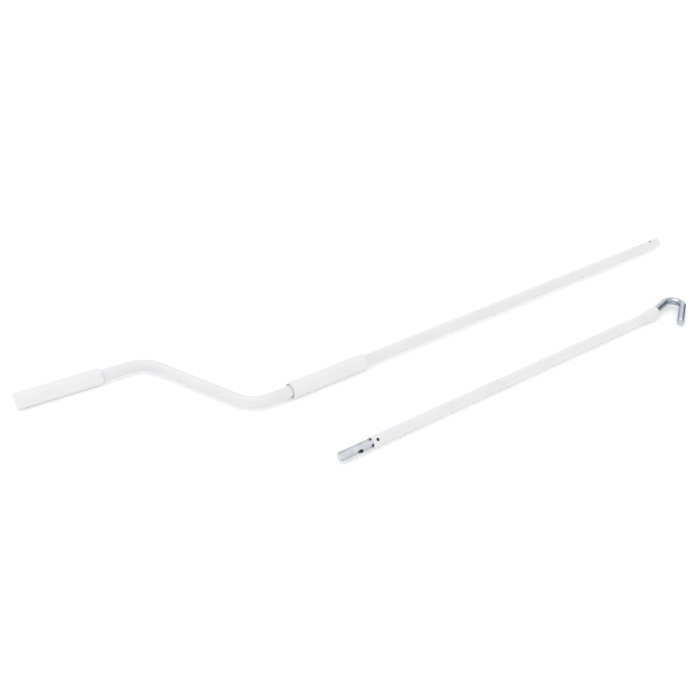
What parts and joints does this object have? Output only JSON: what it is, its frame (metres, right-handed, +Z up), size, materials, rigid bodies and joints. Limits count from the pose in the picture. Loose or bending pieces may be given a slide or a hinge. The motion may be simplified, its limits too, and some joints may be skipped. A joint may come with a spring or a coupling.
{
  "type": "crank rod",
  "caption": "Awning crank rod in two sections: a bent tube with turning grips, and a tube with a fluted spigot and a hook.",
  "frame": {"origin": "centre of the crank tube's open mouth, on the shaft's axis", "axes": "+X points out of the mouth along the shaft, +Y is the side that the arm and handle lie on, +Z is up off the floor that both sections lie on"},
  "size_m": [0.9579, 0.3725, 0.0216],
  "materials": {
    "powder_coat": "white powder coat, satin, slight orange peel",
    "grip_plastic": "white moulded plastic, satin",
    "zinc_plate": "bright blue-grey zinc plate with drawing lines along the bar",
    "black_oxide": "black oxide on steel",
    "spring_steel": "bare spring steel",
    "bare_steel": "bare turned steel"
  },
  "bodies": {
    "crank_section": {"crank_tube": "powder_coat", "end_grip_retainer": "spring_steel", "shaft_grip_stop_rings": "spring_steel"},
    "end_grip": {"end_grip": "grip_plastic", "end_grip_cap": "grip_plastic"},
    "shaft_grip": {"shaft_grip": "grip_plastic"},
    "hook_section": {"hook_tube": "powder_coat", "hook_ferrule": "bare_steel", "hook": "zinc_plate", "coupling_spigot": "zinc_plate", "spigot_pin": "black_oxide", "button_spring": "spring_steel", "spring_plug": "bare_steel"},
    "snap_button": {"snap_button": "black_oxide"}
  },
  "joints": [
    {"name": "end_grip_spin", "type": "hinge", "parent": "crank_section", "child": "end_grip", "pos_m": [-0.79077, 0.1655, 0], "axis": [-0.9962, 0.0872, 0], "continuous": true},
    {"name": "shaft_grip_spin", "type": "hinge", "parent": "crank_section", "child": "shaft_grip", "pos_m": [-0.62875, 0, 0], "axis": [1, 0, 0], "continuous": true},
    {"name": "hook_section_bring_over", "type": "slide", "parent": "crank_section", "child": "hook_section", "axis": [0.9849, 0.1733, 0.0025], "range_m": [0, 0.81473]},
    {"name": "snap_button_press", "type": "slide", "parent": "hook_section", "child": "snap_button", "axis": [0, 1, 0], "range_m": [0, 0.0021], "stiffness_N_per_m": 1000, "springref_m": -0.001}
  ]
}
